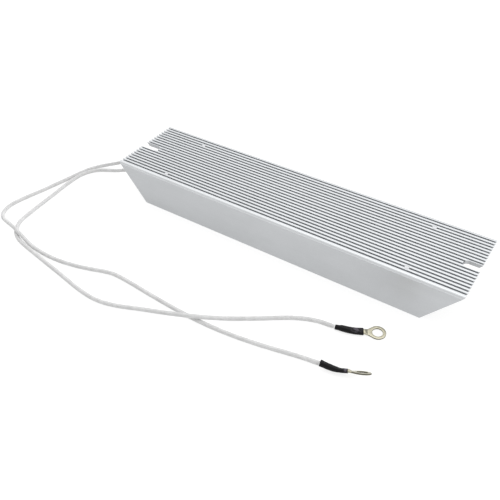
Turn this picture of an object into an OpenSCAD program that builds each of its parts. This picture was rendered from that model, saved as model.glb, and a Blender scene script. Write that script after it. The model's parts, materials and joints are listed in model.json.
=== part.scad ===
// Flat wirewound power resistor in an extruded aluminium housing, with slotted ends and two flying leads.
// X runs along the housing and both leads leave at -X. Y runs across it, from the front wall (-Y) to
// the rear wall (+Y). Z is up. The origin is the centre of the footprint, on the surface it lies on.
// The long wide face, with the mounting slots, is on top.

/* [Housing] */
// Length of the long wide face, from end to end
housing_l = 265; // [240:1:300]
// Width across both side walls
housing_w = 61; // [59:0.5:68]
// Height over both wide faces
housing_h = 30; // [29:0.5:36]
// How far each end is cut back at the short wide face
end_cut_back = 23; // [14:1:26]
// Thickness of the side walls
side_wall = 3; // [2:0.25:3.5]
// Thickness of the wide walls, measured over the ribs
wide_wall = 2.8; // [2.2:0.1:3.2]
// Radius of the long edges of the long wide face
long_edge_r = 2; // [0.4:0.1:2.4]
// Radius of the long edges of the short wide face
short_edge_r = 1; // [0.4:0.1:2.4]
// Radius in the corners of the inner channel
channel_r = 0.8; // [0.4:0.1:2]

/* [Ribs] */
// Number of grooves in each wide face
groove_count = 19; // [5:2:19]
// Distance from one groove to the next
groove_pitch = 3; // [2.4:0.1:3]
// Width of a groove at its mouth
groove_w = 1.4; // [0.8:0.1:1.8]
// Width of a groove at its floor
groove_floor_w = 1.1; // [0.5:0.1:1.5]
// Depth of a groove
groove_d = 1.2; // [0.5:0.1:1.5]

/* [Mounting slots] */
// Width of each open-ended slot, for an M6 screw
slot_w = 6.5; // [5:0.1:9]
// Mean depth of the two slots, from the end of the long face to the round bottom
slot_depth = 13; // [9:0.5:16]
// How far the slots lie from the housing's centre line, across it
slot_offset = -1.5; // [-4:0.5:4]
// How far the slots and the pins lie towards +X of an even distance from both ends
punch_shift = 1.5; // [-2:0.25:2]

/* [End closures] */
// How far each seal's outer face lies inside the end of the long face
seal_recess = 29.5; // [28:0.5:32]
// Thickness of each end block
block_t = 10; // [8:0.5:11]
// Thickness of the sealing layer outside each end block
seal_t = 5; // [2:0.5:6]
// Gap between the channel's walls and the blocks, seals and mica liner
channel_gap = 0.1; // [0.05:0.05:0.2]
// Thickness of the mica liner
mica_t = 0.5; // [0.3:0.1:1]
// Diameter of the four pins that hold the end blocks
pin_d = 3; // [2:0.1:4]
// Length of each pin
pin_l = 8; // [5:0.5:12]
// How far the pins lie to each side of the slots' line
pin_y = 22.5; // [17:0.5:24]
// Gap round each pin
pin_gap = 0.1; // [0.05:0.05:0.2]

/* [Resistance elements] */
// Outer diameter of each ceramic former
former_d = 17; // [14:0.5:17.5]
// Bore of each ceramic former
former_bore = 8; // [4:0.5:10]
// Distance between the two formers' axes
former_pitch = 26; // [24:0.5:28]
// Diameter of the resistance wire
wire_d = 1; // [0.6:0.1:1.1]
// Number of turns on each former
turns = 20; // [8:1:22]
// Gap between the wire and the former, filled by the glaze
glaze_t = 0.2; // [0.18:0.01:0.3]
// Wall of each metal end cap's skirt
cap_wall = 1.2; // [0.8:0.1:1.3]
// Thickness of each end cap's face
cap_face = 1.2; // [0.8:0.1:2]
// Length of each end cap's skirt over the former
cap_skirt = 8; // [4:0.5:12]
// Gap between a former and its end cap
cap_gap = 0.05; // [0.03:0.01:0.1]
// Gap between the filler and what is packed in it
filler_gap = 0.2; // [0.1:0.05:0.3]
// Width of the strip that joins the two elements
link_w = 7; // [4:0.5:10]
// Thickness of that strip
link_t = 1.5; // [0.8:0.1:2]

/* [Lead connections] */
// Diameter of each flying lead over its braid
lead_d = 2.8; // [2.2:0.1:3.4]
// Diameter of the bare conductor
conductor_d = 1.8; // [1:0.1:2]
// Length of bare conductor inside the housing
conductor_l = 5.5; // [4:0.5:6]
// Wall of each crimp ferrule
ferrule_wall = 0.8; // [0.5:0.1:1.2]
// Length of each crimp ferrule
ferrule_l = 9; // [8:0.5:10]
// Gap round a conductor in its ferrule
ferrule_gap = 0.1; // [0.05:0.05:0.2]
// Gap between each ferrule and its end block
ferrule_clear = 1.5; // [0.5:0.25:2]
// Gap between each ferrule and its end cap
ferrule_cap_gap = 1.3; // [0.5:0.1:4]
// Gap between a conductor and the stub that it is crimped to
stub_gap = 0.5; // [0.2:0.1:0.8]
// Gap round a lead in its bush and its sleeve
lead_gap = 0.1; // [0.05:0.05:0.3]
// Wall of each lead bush
bush_wall = 1.5; // [0.8:0.1:2]
// How far each bush stands out of the seal
bush_proud = 3; // [1:0.5:5]
// Gap round each bush
bush_gap = 0.1; // [0.05:0.05:0.2]
// How far in front of the housing's centre line the front lead leaves
front_port_y = -10; // [-14:0.5:-8]
// How far behind the centre line the rear lead leaves
rear_port_y = 8; // [7:0.5:12]
// How far below the middle of the housing's height both leads leave
port_drop = 1; // [0:0.25:2]
// Length that each lead runs on straight outside its bush
lead_straight = 2; // [1:0.5:4]

/* [Ring lugs] */
// Diameter of the hole, for an M6 stud
lug_hole_d = 6.4; // [5:0.1:7]
// Width over the ring
lug_ring_d = 10.2; // [9.6:0.1:13]
// Wall of the crimp barrel; the ring is two walls pressed together
barrel_wall = 0.45; // [0.4:0.05:0.6]
// Width of the crimp barrel, pressed flat
barrel_w = 3.8; // [3.4:0.1:5]
// Thickness of the crimp barrel, pressed flat
barrel_t = 1.8; // [1.6:0.1:2.4]
// Length of the crimp barrel
barrel_l = 7.5; // [6:0.5:9]
// Width of the flat neck at the barrel
neck_w = 4.7; // [3.8:0.1:7]
// Length over which the neck keeps its width beyond the barrel
neck_l = 1; // [0.5:0.25:1.5]
// Length over which the barrel flattens into the neck
throat_l = 2.2; // [1.5:0.1:3]
// Distance from the barrel's mouth to the centre of the ring
lug_reach = 15.3; // [15:0.5:20]
// Distance from the bend in each sleeve to the barrel's mouth
mouth_gap = 0.6; // [0.5:0.1:1]
// Gap round the strands in the barrel
strand_gap = 0.05; // [0.03:0.01:0.1]
// Which way the front lead's lug points, in degrees from +X towards +Y
front_lug_heading = 29; // [20:1:40]
// Which way the rear lead's lug points, in degrees from +X towards +Y
rear_lug_heading = 20; // [10:1:30]
// How steeply the rear lead's lug rises, in degrees
rear_lug_rise = 7; // [4:1:8]
// How far the rear lead's lug is turned about its own axis, in degrees
rear_lug_roll = -43; // [-48:1:-38]

/* [Heat-shrink sleeves] */
// Wall of each sleeve
sleeve_wall = 0.35; // [0.3:0.05:0.6]
// Gap between a sleeve and the barrel under it
sleeve_gap = 0.05; // [0.04:0.01:0.1]
// How far each lead's braid reaches into its sleeve
lead_in = 2.5; // [1.5:0.5:4]
// Diameter of the front lead's braid in its sleeve
front_end_d = 2; // [1.9:0.1:2.8]
// Diameter of the rear lead's braid in its sleeve
rear_end_d = 2.8; // [1.9:0.1:2.8]
// Length over which a braid narrows before its sleeve
narrow_l = 3; // [1:0.5:5]
// How far each barrel stands out of its sleeve
barrel_proud = 0.6; // [0.4:0.1:2]
// Gap under the sleeves and lugs, over the surface that the part lies on
sleeve_lift = 0.05; // [0.02:0.01:0.5]

/* [Hidden] */

$fn = 48;
wire_sides = 5;
wire_steps = 16;
lead_sides = 8;
sleeve_sides = 24;
over = 1;

// Channel through the housing, and the space inside the mica liner.
channel_w = housing_w - 2 * side_wall;
channel_h = housing_h - 2 * wide_wall;
liner_w = channel_w - 2 * channel_gap;
liner_h = channel_h - 2 * channel_gap;
packed_w = liner_w - 2 * mica_t;
packed_h = liner_h - 2 * mica_t;
mid_z = housing_h / 2;

// End closures: outer face of the seal, inner face of the block, and the lead bushes' noses.
seal_x = housing_l / 2 - seal_recess;
block_x = seal_x - seal_t - block_t;
nose_x = seal_x + bush_proud;

// Slots: the round bottom's centre, and pins: their centres, both before they are shifted along X.
slot_x = housing_l / 2 - slot_depth + slot_w / 2;
pin_x = block_x + block_t / 2;

// Elements: one former each side of the centre line, capped at both ends. They fill the length that
// the ferrules leave between the end blocks.
cap_x = block_x - ferrule_clear - ferrule_l - ferrule_cap_gap;
former_l = 2 * (cap_x - cap_face);
former_y = former_pitch / 2;
cap_bore = former_d + 2 * cap_gap;
cap_d = cap_bore + 2 * cap_wall;
winding_r = former_d / 2 + glaze_t + wire_d / 2;
winding_l = former_l - 2 * (cap_skirt + wire_d);
element_d = cap_d + 2 * filler_gap;

// Leads: where each passes through its end block, and the room for its bush and ferrule.
front_port = [front_port_y, mid_z - port_drop];
rear_port = [rear_port_y, mid_z - port_drop];
bush_bore = lead_d + 2 * lead_gap;
bush_d = bush_bore + 2 * bush_wall;
ferrule_bore = conductor_d + 2 * ferrule_gap;
ferrule_d = ferrule_bore + 2 * ferrule_wall;
ferrule_x = block_x - ferrule_clear;
stub_end_x = block_x - conductor_l - stub_gap;

// Lugs: which way each points, as heading, rise and roll.
front_aim = [front_lug_heading, 0, 0];
rear_aim = [rear_lug_heading, rear_lug_rise, rear_lug_roll];
lug_t = 2 * barrel_wall;
bore_w = barrel_w - 2 * barrel_wall;
bore_t = barrel_t - 2 * barrel_wall;
covered_l = barrel_l - barrel_proud;

// Heights over a lead that lies on the surface: each sleeve's mouth, the flat end of the front sleeve,
// and the bend in the rear sleeve, from which its lug rises with the ring just clear of the surface.
mouth_wall = lead_gap + sleeve_wall;
front_mouth_z = front_end_d / 2 + mouth_wall + sleeve_lift - lead_d / 2;
rear_mouth_z = rear_end_d / 2 + mouth_wall + sleeve_lift - lead_d / 2;
front_bend_z = barrel_t / 2 + sleeve_gap + sleeve_wall + sleeve_lift - lead_d / 2;
rear_bend_z = lug_ring_d / 2 * sin(-rear_lug_roll) + barrel_t / 2 * cos(rear_lug_roll) + sleeve_lift
    - (mouth_gap + lug_reach) * sin(rear_lug_rise) - lead_d / 2;

// Routes of the leads outside their bushes, chosen by hand: X from the bushes' noses, Y, and the height
// over a lead that lies on the surface. The last two points are the mouth and the bend of the sleeve.
front_lay = [
    [-13.1, -10, 12.1], [-24.8, -10.5, 10], [-37.5, -11.7, 6.2], [-50.8, -13.8, 1.9],
    [-58.8, -15.5, 0.4], [-64.2, -18, 0], [-68.3, -21.7, 0], [-71.3, -26.8, 0], [-73.1, -33.5, 0],
    [-73.4, -42.6, 0], [-71.5, -63.2, 0], [-68.8, -89.4, 0], [-67.4, -98, 0], [-64.8, -103.5, 0],
    [-60.5, -108.6, 0], [-55, -112.4, 0], [-47.8, -115, 0], [-29.4, -118.3, 0], [0.3, -123.1, 0],
    [22, -126.7, 0], [33.9, -127.6, 0], [43.1, -126.8, 0], [52.8, -124.2, 0], [68.1, -118, 0],
    [77.7, -114.4, 0.2], [91.3, -110.8, 2.3], [99.7, -107.9, 3.2], [107.3, -103.8, 2.8],
    [116.1, -97.3, 1], [123.6, -91.6, 0], [135.3, -83.8, 0], [149.3, -74.2, 0], [158.7, -69.3, 0],
    [166.9, -66.7, 0], [176.6, -65.6, front_mouth_z], [185.9, -63.2, front_bend_z]
];
rear_lay = [
    [-13.5, 8, 12.1], [-24.6, 7, 10.7], [-34.9, 4.9, 8.5], [-44.8, 1.5, 5.7], [-54.4, -3.3, 2.8],
    [-62.3, -8.6, 1.1], [-68.1, -13.9, 0.3], [-72, -19.4, 0], [-74.7, -26.2, 0], [-78.1, -41.6, 0],
    [-82.9, -62.1, 0], [-87.9, -80.6, 0], [-89.1, -88.3, 0], [-88.5, -93.7, 0], [-86.6, -98.3, 0.1],
    [-83.5, -101.8, 0.4], [-79.3, -104.3, 0.9], [-69, -107.2, 2.5], [-59.3, -109.3, 3.1],
    [-49.2, -111.6, 1.7], [-38.3, -113.7, 0.2], [-26.4, -114.8, 0], [-14, -114.6, 0], [-2.2, -113, 0],
    [11, -109.7, 0], [25.3, -105, 0], [32.3, -103.7, 0], [45.7, -104, 0], [72.3, -105.7, 0],
    [93.7, -106.5, 0], [111.5, -106.1, 0], [128.2, -104.6, 0], [146.4, -101.7, 0], [168.7, -97.1, 0.2],
    [182.8, -95, rear_mouth_z], [191, -94.5, rear_bend_z]
];
function route_from(port, lay) = concat(
    [for (x = [block_x, nose_x + lead_straight]) [-x, port[0], port[1]]],
    [for (p = lay) [p[0] - nose_x, p[1], p[2] + lead_d / 2]]
);
front_route = route_from(front_port, front_lay);
rear_route = route_from(rear_port, rear_lay);

// Sweep: a ring of points square to the route at each of its points, joined into one tube.
function unit(v) = v / norm(v);
function heading(route, i) =
    i == 0 ? unit(route[1] - route[0]) :
    i == len(route) - 1 ? unit(route[i] - route[i - 1]) :
    unit(unit(route[i + 1] - route[i]) + unit(route[i] - route[i - 1]));
function ring(centre, along, r, sides) =
    let (across = unit(cross(along, [0, 0, 1])), upward = cross(across, along))
    [for (k = [0 : sides - 1])
        let (a = (k + 0.5) * 360 / sides) centre + r * (cos(a) * across + sin(a) * upward)];
function side_faces(rings, sides) = [
    for (i = [0 : rings - 2], k = [0 : sides - 1])
        let (a = i * sides, n = (k + 1) % sides)
        for (f = [[a + k, a + n, a + sides + n], [a + k, a + sides + n, a + sides + k]]) f
];
function end_faces(rings, sides) = [
    [for (k = [sides - 1 : -1 : 0]) k],
    [for (k = [0 : sides - 1]) (rings - 1) * sides + k]
];

// Tube through a route's points, with a diameter for each.
module tube_along(route, widths, sides) {
    points = [for (i = [0 : len(route) - 1]) each ring(route[i], heading(route, i), widths[i] / 2, sides)];
    polyhedron(points, concat(side_faces(len(route), sides), end_faces(len(route), sides)));
}

// A bar along X with the cross-section that is given, from one X to another.
module along_x(from, to) {
    translate([from, 0, 0]) rotate([90, 0, 90]) linear_extrude(to - from) children();
}

module rod(d, from, to, y, z) {
    translate([from, y, z]) rotate([0, 90, 0]) cylinder(d = d, h = to - from);
}

// Plane oval with straight long sides, centred on the origin.
module oval(w, t) {
    for (x = [-1, 1]) translate([x * (w - t) / 2, 0]) circle(d = t);
    square([w - t, t], center = true);
}

// Plane rectangle with round corners, standing on y = bottom and centred on x = 0.
module round_rect(w, h, r, bottom) {
    for (x = [-1, 1], y = [r, h - r]) translate([x * (w / 2 - r), bottom + y]) circle(r = r);
    translate([-w / 2, bottom + r]) square([w, h - 2 * r]);
    translate([-w / 2 + r, bottom]) square([w - 2 * r, h]);
}

// Cross-section of the channel, drawn smaller by the gap on every side.
module channel_section(gap) {
    round_rect(channel_w - 2 * gap, channel_h - 2 * gap, channel_r, wide_wall + gap);
}

// One row of grooves in the wide face at the height that is given. side is 1 on top, -1 below.
module groove_row(height, side) {
    for (i = [0 : groove_count - 1])
        translate([(i - (groove_count - 1) / 2) * groove_pitch, height])
            polygon([
                [-groove_w / 2, 0], [-groove_floor_w / 2, -side * groove_d],
                [groove_floor_w / 2, -side * groove_d], [groove_w / 2, 0],
                [groove_w / 2, side * over], [-groove_w / 2, side * over]
            ]);
}

// Outline of the housing's cross-section, with its own edge radius at each wide face.
module housing_outline() {
    side_x = housing_w / 2;
    for (x = [-1, 1]) {
        translate([x * (side_x - long_edge_r), housing_h - long_edge_r]) circle(r = long_edge_r);
        translate([x * (side_x - short_edge_r), short_edge_r]) circle(r = short_edge_r);
    }
    polygon([
        [short_edge_r - side_x, 0], [side_x - short_edge_r, 0],
        [side_x, short_edge_r], [side_x, housing_h - long_edge_r],
        [side_x - long_edge_r, housing_h], [long_edge_r - side_x, housing_h],
        [-side_x, housing_h - long_edge_r], [-side_x, short_edge_r]
    ]);
}

module housing_section() {
    difference() {
        housing_outline();
        channel_section(0);
        groove_row(housing_h, 1);
        groove_row(0, -1);
    }
}

// What the slanted saw cut takes off the +X end.
module slant_cut() {
    run = end_cut_back / housing_h;
    far = housing_l / 2 + end_cut_back;
    rotate([90, 0, 0]) linear_extrude(housing_w + 2 * over, center = true)
        polygon([
            [housing_l / 2 - end_cut_back - run * over, -over],
            [housing_l / 2 + run * over, housing_h + over],
            [far, housing_h + over], [far, -over]
        ]);
}

// Slot at the +X end. shift moves it along X.
module slot_cut(shift) {
    translate([slot_x + shift, slot_offset, housing_h - wide_wall - over]) {
        cylinder(d = slot_w, h = wide_wall + 2 * over);
        translate([0, -slot_w / 2, 0])
            cube([slot_depth + abs(shift), slot_w, wide_wall + 2 * over]);
    }
}

module at_pins(ends) {
    for (x = ends, y = [-1, 1])
        translate([x * pin_x + punch_shift, y * pin_y + slot_offset, housing_h - pin_l]) children();
}

module housing() {
    color("gainsboro") difference() {
        along_x(-housing_l / 2, housing_l / 2) housing_section();
        slant_cut();
        mirror([1, 0, 0]) slant_cut();
        slot_cut(punch_shift);
        mirror([1, 0, 0]) slot_cut(-punch_shift);
        at_pins([-1, 1]) cylinder(d = pin_d + 2 * pin_gap, h = pin_l + over);
    }
}

module closure_pins() {
    color("silver") at_pins([-1, 1]) cylinder(d = pin_d, h = pin_l);
}

module mica_liner() {
    color("tan") along_x(-block_x, block_x) difference() {
        channel_section(channel_gap);
        translate([-packed_w / 2, wide_wall + channel_gap + mica_t]) square([packed_w, packed_h]);
    }
}

// Powder packed hard round both elements, up to the liner and the end blocks.
module filler() {
    color("lightgray") difference() {
        translate([-block_x, -packed_w / 2, mid_z - packed_h / 2]) cube([2 * block_x, packed_w, packed_h]);
        for (y = [-former_y, former_y])
            rod(element_d, -cap_x - filler_gap, cap_x + filler_gap, y, mid_z);
        for (p = [front_port, rear_port])
            rod(ferrule_d + 2 * filler_gap, -block_x - over, -cap_x, p[0], p[1]);
        translate([cap_x, -former_y - link_w / 2 - filler_gap, mid_z - link_w / 2 - filler_gap])
            cube([link_t + filler_gap, former_pitch + link_w + 2 * filler_gap, link_w + 2 * filler_gap]);
    }
}

module former(y) {
    color("white") difference() {
        rod(former_d, -former_l / 2, former_l / 2, y, mid_z);
        rod(former_bore, -former_l / 2 - over, former_l / 2 + over, y, mid_z);
    }
}

// Resistance wire: a helix round the former, between the end caps.
module winding(y) {
    steps = turns * wire_steps;
    route = [for (i = [0 : steps])
        let (a = i * 360 / wire_steps)
        [winding_l * (i / steps - 0.5), y + winding_r * cos(a), mid_z + winding_r * sin(a)]];
    rings = [for (i = [0 : steps])
        let (radial = unit([0, route[i][1] - y, route[i][2] - mid_z]), along = heading(route, i))
        [for (k = [0 : wire_sides - 1])
            let (a = k * 360 / wire_sides, across = cross(along, radial))
            route[i] + wire_d / 2 * (cos(a) * radial - sin(a) * across)]];
    color("dimgray") polyhedron(
        [for (r = rings) each r],
        concat(side_faces(steps + 1, wire_sides), end_faces(steps + 1, wire_sides))
    );
}

// Metal end cap on a former. side is -1 at the left end and 1 at the right.
module cap(y, side) {
    face = cap_x;
    color("silver") difference() {
        rod(cap_d, min(side * face, side * (face - cap_face - cap_skirt)),
            max(side * face, side * (face - cap_face - cap_skirt)), y, mid_z);
        rod(cap_bore, min(side * (former_l / 2), side * (former_l / 2 - cap_skirt - over)),
            max(side * (former_l / 2), side * (former_l / 2 - cap_skirt - over)), y, mid_z);
    }
}

// Left end cap, with the stub that its lead is crimped to.
module terminal_cap(y, port) {
    color("silver") {
        cap(y, -1);
        rod(conductor_d, -stub_end_x, -cap_x + cap_face / 2, port[0], port[1]);
    }
}

// Strip welded to both right end caps: it puts the two elements in series.
module series_link() {
    color("silver") translate([cap_x, 0, mid_z]) rotate([90, 0, 90]) linear_extrude(link_t) {
        square([former_pitch, link_w], center = true);
        for (y = [-former_y, former_y]) translate([y, 0]) circle(d = link_w);
    }
}

module conductor(port) {
    color("peru") rod(conductor_d, -block_x, -block_x + conductor_l, port[0], port[1]);
}

module ferrule(port) {
    color("darkgoldenrod") difference() {
        rod(ferrule_d, -ferrule_x, -ferrule_x + ferrule_l, port[0], port[1]);
        rod(ferrule_bore, -ferrule_x - over, -ferrule_x + ferrule_l + over, port[0], port[1]);
    }
}

module bush_holes() {
    for (p = [front_port, rear_port])
        rod(bush_d + 2 * bush_gap, -seal_x - over, -block_x + over, p[0], p[1]);
}

module block_body() {
    along_x(block_x, block_x + block_t) channel_section(channel_gap);
}

module end_block_left() {
    color("ivory") difference() {
        mirror([1, 0, 0]) block_body();
        bush_holes();
        at_pins([-1]) cylinder(d = pin_d + 2 * pin_gap, h = pin_l + over);
    }
}

module end_block_right() {
    color("ivory") difference() {
        block_body();
        at_pins([1]) cylinder(d = pin_d + 2 * pin_gap, h = pin_l + over);
    }
}

module seal_left() {
    color("whitesmoke") difference() {
        along_x(-seal_x, -block_x - block_t) channel_section(channel_gap);
        bush_holes();
    }
}

module seal_right() {
    color("whitesmoke") along_x(block_x + block_t, seal_x) channel_section(channel_gap);
}

// Ceramic bead that leads each flying lead through the end block and the seal.
module bush(port) {
    color("white") translate([0, port[0], port[1]]) rotate([0, -90, 0]) rotate_extrude()
        polygon([
            [bush_bore / 2, block_x], [bush_d / 2, block_x], [bush_d / 2, nose_x - bush_wall / 2],
            [bush_d / 2 - bush_wall / 2, nose_x], [bush_bore / 2, nose_x]
        ]);
}

// Way into the sleeve, from its mouth to its bend.
function way_in(route) = unit(route[len(route) - 1] - route[len(route) - 2]);

// Flying lead: it ends inside its sleeve, where the braid is end_d thick.
module lead(route, end_d) {
    mouth = route[len(route) - 2];
    back_along = unit(route[len(route) - 3] - mouth);
    points = concat(
        [for (i = [0 : len(route) - 3]) route[i]],
        [mouth + narrow_l * back_along, mouth, mouth + lead_in * way_in(route)]
    );
    widths = [for (i = [0 : len(points) - 1]) i < len(points) - 2 ? lead_d : end_d];
    color("whitesmoke") tube_along(points, widths, lead_sides);
}

// A lug's own axis, and the direction across its ring, for the heading, rise and roll in aim.
function lug_axis(aim) = [cos(aim[1]) * cos(aim[0]), cos(aim[1]) * sin(aim[0]), sin(aim[1])];
function lug_across(aim) =
    let (flat = [-sin(aim[0]), cos(aim[0]), 0]) cos(aim[2]) * flat + sin(aim[2]) * cross(lug_axis(aim), flat);

// Oval ring of points square to along, with its width in the lug's direction across.
function oval_ring(centre, along, across, w, t) =
    let (wide = unit(across - (across * along) * along), thick = cross(wide, along))
    [for (k = [0 : sleeve_sides - 1])
        let (a = (k + 0.5) * 360 / sleeve_sides)
        centre + (sign(cos(a)) * (w - t) / 2 + t / 2 * cos(a)) * wide + t / 2 * sin(a) * thick];

// The lead's last stretch, in its sleeve. Each station is [centre, direction, width, thickness]: from
// the lead's braid, past the bend, to a length beyond the bend along the lug.
function stations(route, aim, first, from_d, beyond, w, t) =
    let (bend = route[len(route) - 1], along = way_in(route), axis = lug_axis(aim))
    concat(first, [
        [route[len(route) - 2] + lead_in * along, along, from_d, from_d],
        [bend, unit(along + axis), w, t],
        [bend + beyond * axis, axis, w, t]
    ]);
function rings_at(list, aim, wall) = [
    for (s = list) oval_ring(s[0], s[1], lug_across(aim), s[2] + 2 * wall, s[3] + 2 * wall)];

// Bare strands between the lead's end and the inner end of the barrel, which presses them flat.
module strand(route, aim) {
    list = stations(route, aim, [], conductor_d, mouth_gap + barrel_l - lug_t - strand_gap,
        bore_w - 2 * strand_gap, bore_t - 2 * strand_gap);
    color("peru") polyhedron(
        [for (r = rings_at(list, aim, 0)) each r],
        concat(side_faces(len(list), sleeve_sides), end_faces(len(list), sleeve_sides))
    );
}

// Heat-shrink sleeve: round on the lead, oval on the barrel. Its outside and its bore are one skin.
module sleeve(route, end_d, aim) {
    mouth_d = end_d + 2 * lead_gap;
    first = [[route[len(route) - 2], way_in(route), mouth_d, mouth_d]];
    list = stations(route, aim, first, mouth_d, mouth_gap + covered_l,
        barrel_w + 2 * sleeve_gap, barrel_t + 2 * sleeve_gap);
    inner = rings_at(list, aim, 0);
    rings = concat(rings_at(list, aim, sleeve_wall), [for (i = [len(inner) - 1 : -1 : 0]) inner[i]]);
    count = len(rings);
    closing = [for (k = [0 : sleeve_sides - 1])
        let (a = (count - 1) * sleeve_sides, n = (k + 1) % sleeve_sides)
        for (f = [[a + k, a + n, n], [a + k, n, k]]) f];
    color("black") polyhedron(
        [for (r = rings) each r], concat(side_faces(count, sleeve_sides), closing));
}

// Puts what is drawn along +X from the barrel's mouth in its place beyond the sleeve's bend.
module on_lug(route, aim) {
    translate(route[len(route) - 1]) rotate([0, -aim[1], aim[0]]) rotate([aim[2], 0, 0])
        translate([mouth_gap, 0, 0]) children();
}

// Stamped ring with its tapered neck, its underside level with the barrel's. The neck's edges meet
// the ring at a tangent.
module lug_tongue() {
    run = lug_reach - barrel_l;
    corner = [run - neck_l, neck_w / 2];
    ring_r = lug_ring_d / 2;
    meet = 180 - atan2(corner[1], corner[0]) - acos(min(1, ring_r / norm(corner)));
    touch = ring_r * [cos(meet), sin(meet)];
    translate([lug_reach, 0, -barrel_t / 2]) difference() {
        linear_extrude(lug_t) {
            circle(d = lug_ring_d);
            polygon([
                [-run, -corner[1]], -corner, [touch[0], -touch[1]], [0, 0],
                touch, [-corner[0], corner[1]], [-run, corner[1]]
            ]);
        }
        translate([0, 0, -over]) cylinder(d = lug_hole_d, h = lug_t + 2 * over);
    }
}

// The end of the barrel, flattened down to the neck.
module lug_throat() {
    hull() {
        along_x(barrel_l - barrel_proud / 2, barrel_l) oval(barrel_w, barrel_t);
        translate([barrel_l + throat_l - lug_t, -neck_w / 2, -barrel_t / 2]) cube([lug_t, neck_w, lug_t]);
    }
}

module lug(route, aim) {
    color("khaki") on_lug(route, aim) {
        difference() {
            along_x(0, barrel_l) oval(barrel_w, barrel_t);
            along_x(-over, barrel_l - lug_t) oval(bore_w, bore_t);
        }
        lug_throat();
        lug_tongue();
    }
}

housing();
mica_liner();
filler();
former(-former_y);  // former_front
former(former_y);  // former_rear
winding(-former_y);  // winding_front
winding(former_y);  // winding_rear
terminal_cap(-former_y, front_port);  // cap_front_left
cap(-former_y, 1);  // cap_front_right
terminal_cap(former_y, rear_port);  // cap_rear_left
cap(former_y, 1);  // cap_rear_right
series_link();
conductor(front_port);  // conductor_front
conductor(rear_port);  // conductor_rear
ferrule(front_port);  // ferrule_front
ferrule(rear_port);  // ferrule_rear
end_block_left();
end_block_right();
seal_left();
seal_right();
closure_pins();
bush(front_port);  // bush_front
bush(rear_port);  // bush_rear
lead(front_route, front_end_d);  // lead_front
lead(rear_route, rear_end_d);  // lead_rear
strand(front_route, front_aim);  // strand_front
strand(rear_route, rear_aim);  // strand_rear
sleeve(front_route, front_end_d, front_aim);  // sleeve_front
sleeve(rear_route, rear_end_d, rear_aim);  // sleeve_rear
lug(front_route, front_aim);  // lug_front
lug(rear_route, rear_aim);  // lug_rear
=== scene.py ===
"""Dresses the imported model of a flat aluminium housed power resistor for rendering.

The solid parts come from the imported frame. This script gives them their finishes and models what
needs a finer skin: the braided leads, their heat-shrink sleeves and their ring lugs.
"""

import json
import logging
import math
from dataclasses import dataclass, field
from enum import Enum
from typing import Callable, Sequence

import bmesh
import bpy
from mathutils import Matrix, Vector, noise

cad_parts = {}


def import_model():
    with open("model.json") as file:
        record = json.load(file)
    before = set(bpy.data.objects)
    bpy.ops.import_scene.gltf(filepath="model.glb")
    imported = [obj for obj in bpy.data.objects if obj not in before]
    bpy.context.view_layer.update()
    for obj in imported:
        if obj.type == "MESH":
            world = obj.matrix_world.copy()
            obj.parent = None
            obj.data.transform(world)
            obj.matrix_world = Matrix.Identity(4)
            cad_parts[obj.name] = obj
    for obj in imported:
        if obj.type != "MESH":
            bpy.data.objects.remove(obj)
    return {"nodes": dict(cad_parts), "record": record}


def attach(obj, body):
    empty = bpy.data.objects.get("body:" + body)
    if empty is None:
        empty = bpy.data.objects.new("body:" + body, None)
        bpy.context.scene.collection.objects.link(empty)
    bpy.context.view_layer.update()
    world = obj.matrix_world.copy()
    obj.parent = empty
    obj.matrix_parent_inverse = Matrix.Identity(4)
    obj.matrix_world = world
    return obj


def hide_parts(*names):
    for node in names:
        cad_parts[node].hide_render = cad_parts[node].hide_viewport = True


LOG = logging.getLogger("scene")
MM = 0.001
Point = tuple[float, float, float]

# Vertices of one mesh that lie closer together than this, in metres, are one vertex.
WELD = 1e-7
# Nearly all the values of a noise pattern lie between these two.
SWING = (0.3, 0.7)
SMOOTH = {"interpolation_type": "SMOOTHSTEP"}


# ---------------------------------------------------------------------------------------------
# Colours and shader nodes
# ---------------------------------------------------------------------------------------------


def linear(hex_colour: str) -> tuple[float, float, float, float]:
    """Turns an sRGB hex value into a linear colour.

    Args:
        hex_colour: Six hex digits, with or without a leading #.

    Returns:
        Red, green, blue and an alpha of 1, all linear.
    """
    digits = hex_colour.lstrip("#")
    channels = [int(digits[i : i + 2], 16) / 255 for i in (0, 2, 4)]
    low, high = 0.04045, 12.92
    red, green, blue = (c / high if c <= low else ((c + 0.055) / 1.055) ** 2.4 for c in channels)
    return red, green, blue, 1.0


@dataclass
class Graph:
    """A node tree.

    Attributes:
        tree: Blender's own tree.
    """

    tree: bpy.types.NodeTree

    def add(
        self, kind: str, inputs: Sequence[object] | dict[int | str, object] = (), **settings: object
    ) -> bpy.types.Node:
        """Adds one node with its settings and its links.

        Args:
            kind: The node's type name without the "ShaderNode" in front.
            inputs: What its inputs take, in order or by name: a value, a socket, or a node, which
                stands for its first output.
            settings: Properties of the node itself, such as an operation.

        Returns:
            The node.
        """
        node = self.tree.nodes.new("ShaderNode" + kind)
        for name, value in settings.items():
            setattr(node, name, value)
        for key, value in inputs.items() if isinstance(inputs, dict) else enumerate(inputs):
            self.fill(node.inputs[key], value)
        return node

    def fill(self, socket: bpy.types.NodeSocket, value: object) -> None:
        """Fills one input of a node.

        Args:
            socket: The input.
            value: A value, a socket or a node, as for a new node's inputs.
        """
        if isinstance(value, bpy.types.Node):
            value = value.outputs[0]
        if isinstance(value, bpy.types.NodeSocket):
            self.tree.links.new(value, socket)
        else:
            socket.default_value = value


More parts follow.
